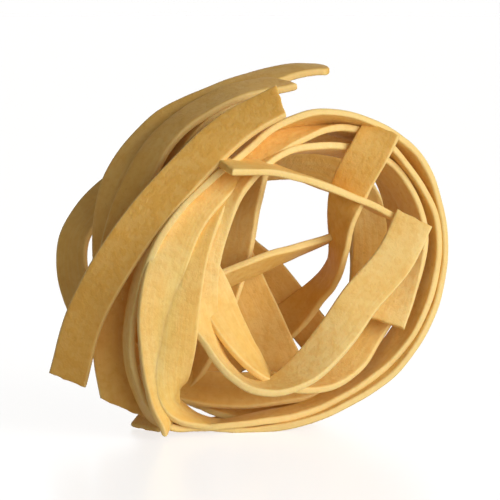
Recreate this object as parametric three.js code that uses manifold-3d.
// A nest of dry tagliatelle: fourteen flat ribbons of egg pasta, wound round one axis and dried
// stuck together, standing on its rim.
//
// The frame: millimetres, +Z up, the winding axis runs along Y and the open front faces -Y. The
// origin is at the middle of the foot of the nest. Every ribbon has a route: a list of stations
// along its middle line, each four numbers,
//   angle  round the winding axis, degrees: 0 at +X, 90 at the top, counted on past 360 on a coil
//   reach  distance from the winding axis, mm
//   depth  along the winding axis, mm: negative towards the open front
//   roll   turn of the flat section about its own run, degrees: 0 lays the width along the axis
// Routes touch where the dry ribbons stick, and the union of all of them is one closed body.

import * as THREE from 'three';
import Module from 'manifold-3d';

const RIBBON_WIDTH = 6.6;
const RIBBON_THICKNESS = 1.2;
const AXIS_X = 4.7; // the winding axis, from the middle of the foot
const AXIS_Y = -0.07;
const AXIS_Z = 26;
const FACET_LENGTH = 4; // longest facet along a ribbon
const PIECE_FACETS = 16; // a ribbon is joined up from pieces this long, so none meets itself
const HALF_SPACE = 200; // side of the block that keeps what is above the floor

const ROUTES = {
  // The long outer ribbon: down the left front, then two turns of the front rim.
  rim: [
    [115, 20, -7, 180], [141, 20.7, -9.3, 155], [165, 21.9, -10.8, 127],
    [185, 23.3, -11.3, 118], [202, 25.8, -11, 114], [214, 29.1, -9.6, 92],
    [222, 30.4, -7.8, 52], [233, 29.1, -6.2, 22], [243, 27.9, -5.4, 10], [253, 26.5, -6.5, 6],
    [275, 24, -10.5, 0], [315, 23, -13, 0], [345, 24.3, -13.5, 0], [375, 26.5, -13, 0],
    [400, 28.4, -12, 0], [425, 27.1, -12, 14], [445, 26.2, -11.5, 19], [466, 25, -11, 12],
    [480, 23.6, -10.5, 10], [497, 24, -10, 10], [525, 26.5, -7.5, 20], [555, 29.3, -3.5, 20],
    [570, 32, -3.5, 20], [585, 33.5, -5, 5], [595, 30.5, -5.5, -5], [615, 25, -7.5, 0],
    [640, 22.5, -9.5, 0], [675, 21.9, -11.5, 0], [705, 23, -13.2, 0], [739, 25.7, -12.6, 0],
    [774, 26.2, -10.8, 5], [790, 25.2, -9.6, 8], [800, 24.4, -9.3, -3],
    [811, 23.4, -9.5, -18], [825, 22.3, -9.7, -30], [850, 22, -10, -42],
    [875, 23.9, -10.3, -56], [899, 26, -10.2, -74], [911, 27.6, -10.1, -78],
    [922, 28.8, -9.8, -82], [931, 30.2, -9.3, -91], [938, 31.6, -8.8, -104],
    [944, 33, -8.2, -124], [946, 34.4, -7.6, -145],
  ],
  // The ribbon round the inside of the front rim, which ends as the broad band across the front.
  front_band: [
    [330, 17.5, -14, 55], [350, 18.5, -13, 45], [380, 23.5, -12, 0], [405, 24.3, -10, 8],
    [430, 21.8, -9.5, 12], [460, 20.5, -10, 8], [479, 20.6, -11, -10], [498, 20.3, -11, -32],
    [516, 19.5, -11, -62], [534, 19.4, -10.7, -72], [549, 19.4, -10.3, -86],
    [559, 19.7, -10.5, -106], [568, 20.2, -11.2, -126], [577, 21.1, -12.4, -140],
    [585, 21.6, -13.8, -152], [593, 21.6, -15.2, -165], [603, 20.1, -16.4, -172],
    [617, 16, -17, -155], [647, 10, -17.5, -135], [692, 8.4, -18, -120],
    [730, 14, -18.5, -120], [747, 20, -18.5, -120],
  ],
  // The next ribbon in: round the middle, then down the left of the hollow to a free foot.
  middle: [
    [166, 19.7, -6.5, 115], [186, 16, -8.6, 95], [212, 15.5, -10.4, 72],
    [236, 16.6, -11.2, 45], [257, 18.3, -11.5, 15], [277, 18.2, -12.5, 15],
    [299, 17.3, -12, 30], [321, 17.5, -9.5, 35], [340, 19.2, -8, 35], [360, 22, -6.5, 10],
    [375, 24.2, -6, 0], [400, 25.6, -5, 0], [425, 24.4, -2.5, 20],
    [450, 18.5, 0, 5], [470, 12, -0.5, -15], [520, 7, -0.5, -30], [575, 11, 1, -30],
    [590, 17, 3, -25], [592, 24, 3.5, -15], [590, 29.5, 2.5, -10], [589, 34, 2, -10],
  ],
  // A loose loop at the back left, then a turn and a half of the back rim.
  back_rim: [
    [95, 20.5, 14.5, 10], [112, 20, 16, 10], [130, 20, 16.5, -25], [145, 23.2, 17.5, -25],
    [170, 27.6, 17, -15], [195, 27.5, 14.5, -20], [230, 24.8, 11.5, 0], [248, 24.3, 11, 0],
    [265, 25, 10.5, 0], [290, 26, 10.5, 0], [320, 26.5, 10, 0], [355, 26.5, 10, 0],
    [395, 26, 11.5, 0], [435, 24.4, 9.5, 0], [465, 26.5, 6.5, 0], [510, 26.5, 5.5, 0],
    [555, 26.5, 5.5, 0], [580, 27.3, 5.5, 0], [600, 28.2, 5.5, 0], [614, 27.2, 5.2, 0],
    [630, 25.5, 5, 0], [650, 26.5, 4.5, 0], [675, 26, 4.5, 0],
  ],
  // The back of the hollow: along the bottom, up the right and over the top.
  back_wall: [
    [208, 26, 6, 5], [219, 26.1, 4.5, 30], [228, 25, 2.5, 45], [237, 23.1, 0, 55],
    [250, 21.1, -2.5, 58], [266, 19.8, -4, 48], [284, 20, -4.6, 36], [310, 21, -3, 30],
    [332, 23, 0.5, 35], [350, 23.5, 3, 45], [380, 25.5, 5, 50],
    [400, 24.3, 8, 50], [428, 17.5, 10.5, 45], [441, 14.2, 11, 15], [462, 9.4, 12, 0],
    [515, 4.6, 11.5, 0], [578, 8.5, 9.5, -5],
  ],
  // The topmost ribbon: a free end over the top, down the left and along the bottom.
  top_left: [
    [70, 35.6, -0.5, -8], [80, 33.7, 1, -8], [108, 30, 3, -20], [125, 29.8, 5, -18],
    [150, 28.9, 6.8, -12], [180, 25.5, 8, -18], [205, 23.5, 9, -20], [230, 24, 7, 5],
    [255, 24, 2.5, 30], [290, 23.5, -2.5, 25], [310, 24, -3.5, 20], [330, 25.5, -2, 15],
  ],
  // A short ribbon inside the left shoulder, which closes the gap behind the next two.
  left_inner: [
    [90, 28.8, 0, 0], [105, 29.2, -0.5, 0], [122, 28.5, -0.5, -5], [143, 26.2, 1, -15],
    [163, 24.5, 3.5, -20],
  ],
  // Two short ribbons with free ends down the left shoulder.
  left_under: [
    [87, 31.5, -3.5, -10], [105, 30.6, -1.5, -10], [130, 30, 0, -8], [149, 28.5, 1, -15],
    [170, 27, 2.5, -45], [190, 27.7, 3.5, -60], [205, 30.4, 3.5, -60],
    [220, 34.3, 2.5, -60],
  ],
  left_band: [
    [101, 29.6, -14, -32], [119, 28.3, -12, -38], [145, 28, -9.5, -45], [165, 30, -6, -46],
    [190, 33.9, 2, -42], [207, 38.1, 7.4, -42],
  ],
  // Ribbons that cross the hollow.
  cross_top: [
    [133, 25.6, -15.2, 13], [116, 20.3, -14.6, 15], [95, 16.3, -14, 8], [71, 14.9, -13.6, 5],
    [47, 16.1, -13.2, 7], [29, 18.9, -12.8, 8],
  ],
  cross_right: [
    [61, 27.5, -15.5, -40], [62, 23, -15.5, -55], [60, 17.5, -13.5, -45],
    [50, 12.3, -11.5, -8], [25, 9.9, -9, 12], [-2, 9.8, -6, 20], [-24, 10.1, -2, 5],
    [-63, 11.3, 3, -36], [-103, 16.4, 8, -56], [-125, 21, 9, -60],
  ],
  cross_middle: [
    [191, 18, -3.5, -45], [166, 5.5, -6, -35], [95, 2.5, -5.5, -30], [26, 11.5, -4.5, -18],
    [25, 14.5, -4.8, -14],
  ],
  cross_low: [
    [87, 21.5, 13, 0], [100, 17.3, 12, -25], [127, 7.2, 5.5, -60], [266, 7.3, 1, -65],
    [285, 19.4, -2, -60], [300, 25, -4, -25],
  ],
  cross_back: [
    [90, 14.5, 18, -30], [75, 3.2, 10.5, -60], [-19, 5, 7, -65], [-48, 22, -0.5, -45],
    [-45, 25.5, -2.5, -15],
  ],
};

// How far an end is cut askew, mm from the middle of the ribbon to its side: first end, last end.
const ASKEW_ENDS = {
  left_under: [1.5, -2.2],
  left_band: [-1.1, 0],
  cross_top: [0.6, 0],
};

const wasm = await Module();
wasm.setup();

function stationPoint([angle, reach, depth]) {
  const turn = THREE.MathUtils.degToRad(angle);
  return new THREE.Vector3(
    AXIS_X + reach * Math.cos(turn),
    AXIS_Y + depth,
    AXIS_Z + reach * Math.sin(turn),
  );
}

// The roll between stations: a uniform Catmull-Rom curve through the stations' rolls.
function rollAt(route, place) {
  const first = Math.min(Math.floor(place), route.length - 2);
  const t = place - first;
  const roll = (index) => route[THREE.MathUtils.clamp(index, 0, route.length - 1)][3];
  const [a, b, c, d] = [roll(first - 1), roll(first), roll(first + 1), roll(first + 2)];
  const cubic = -a + 3 * b - 3 * c + d;
  const square = 2 * a - 5 * b + 4 * c - d;
  return THREE.MathUtils.degToRad(b + 0.5 * t * (c - a + t * (square + t * cubic)));
}

// The four corners of a ribbon's section at every step along its route.
function ribbonSections(route, [firstAskew, lastAskew]) {
  const curve = new THREE.CatmullRomCurve3(route.map(stationPoint), false, 'centripetal');
  curve.arcLengthDivisions = 40 * route.length;
  const steps = Math.ceil(curve.getLength() / FACET_LENGTH);
  const axis = new THREE.Vector3(0, 1, 0);
  const sections = [];
  for (let step = 0; step <= steps; step += 1) {
    const t = curve.getUtoTmapping(step / steps);
    const centre = curve.getPoint(t);
    const along = curve.getTangent(t);
    const across = axis.clone().addScaledVector(along, -axis.dot(along)).normalize();
    across.applyAxisAngle(along, rollAt(route, t * (route.length - 1)));
    const through = along.clone().cross(across).multiplyScalar(RIBBON_THICKNESS / 2);
    across.multiplyScalar(RIBBON_WIDTH / 2);
    const askew = step === 0 ? firstAskew : step === steps ? lastAskew : 0;
    across.addScaledVector(along, askew);
    const corners = [[1, 1], [-1, 1], [-1, -1], [1, -1]];
    sections.push(corners.map(([side, face]) => (
      centre.clone().addScaledVector(across, side).addScaledVector(through, face)
    )));
  }
  return sections;
}

// A closed solid over a run of sections: four walls and two end caps, faces pointing out.
function runSolid(sections) {
  const triangles = [];
  const last = (sections.length - 1) * 4;
  for (let base = 0; base < last; base += 4) {
    for (let side = 0; side < 4; side += 1) {
      const next = (side + 1) % 4;
      triangles.push(base + side, base + next, base + 4 + next);
      triangles.push(base + side, base + 4 + next, base + 4 + side);
    }
  }
  triangles.push(0, 2, 1, 0, 3, 2);
  triangles.push(last, last + 1, last + 2, last, last + 2, last + 3);
  const points = sections.flat().flatMap((corner) => corner.toArray());
  return toSolid(points, triangles);
}

function toSolid(points, triangles) {
  return new wasm.Manifold(new wasm.Mesh({
    numProp: 3,
    vertProperties: new Float32Array(points),
    triVerts: new Uint32Array(triangles),
  }));
}

// One ribbon: its pieces share their end sections, so they join face to face.
function ribbonSolid([name, route]) {
  const sections = ribbonSections(route, ASKEW_ENDS[name] ?? [0, 0]);
  let solid = null;
  for (let start = 0; start < sections.length - 1; start += PIECE_FACETS) {
    const piece = runSolid(sections.slice(start, start + PIECE_FACETS + 1));
    solid = solid ? solid.add(piece) : piece;
  }
  return solid;
}

// The block above the floor, which gives the nest the small flats that it stands on.
function aboveFloor() {
  const block = new THREE.BoxGeometry(HALF_SPACE, HALF_SPACE, HALF_SPACE).toNonIndexed();
  block.translate(0, 0, HALF_SPACE / 2);
  const corners = [];
  const triangles = [];
  const position = block.getAttribute('position');
  for (let index = 0; index < position.count; index += 1) {
    const corner = [position.getX(index), position.getY(index), position.getZ(index)];
    let known = corners.findIndex((other) => other.every((value, axis) => value === corner[axis]));
    if (known < 0) {
      known = corners.push(corner) - 1;
    }
    triangles.push(known);
  }
  return toSolid(corners.flat(), triangles);
}

function nestGeometry() {
  const joined = Object.entries(ROUTES).map(ribbonSolid).reduce((all, ribbon) => all.add(ribbon));
  const standing = joined.intersect(aboveFloor());
  const bodies = standing.decompose().sort((one, other) => other.volume() - one.volume());
  const { vertProperties, triVerts } = bodies[0].getMesh();
  const geometry = new THREE.BufferGeometry();
  geometry.setAttribute('position', new THREE.BufferAttribute(vertProperties, 3));
  geometry.setIndex(new THREE.BufferAttribute(triVerts, 1));
  geometry.computeVertexNormals();
  return geometry;
}

const dryPasta = new THREE.MeshStandardMaterial({
  color: 0xdcaf62,
  roughness: 0.65,
  metalness: 0,
});

const nest = new THREE.Mesh(nestGeometry(), dryPasta);
nest.name = 'pasta_nest';

const part = new THREE.Group();
part.add(nest);

export default part;
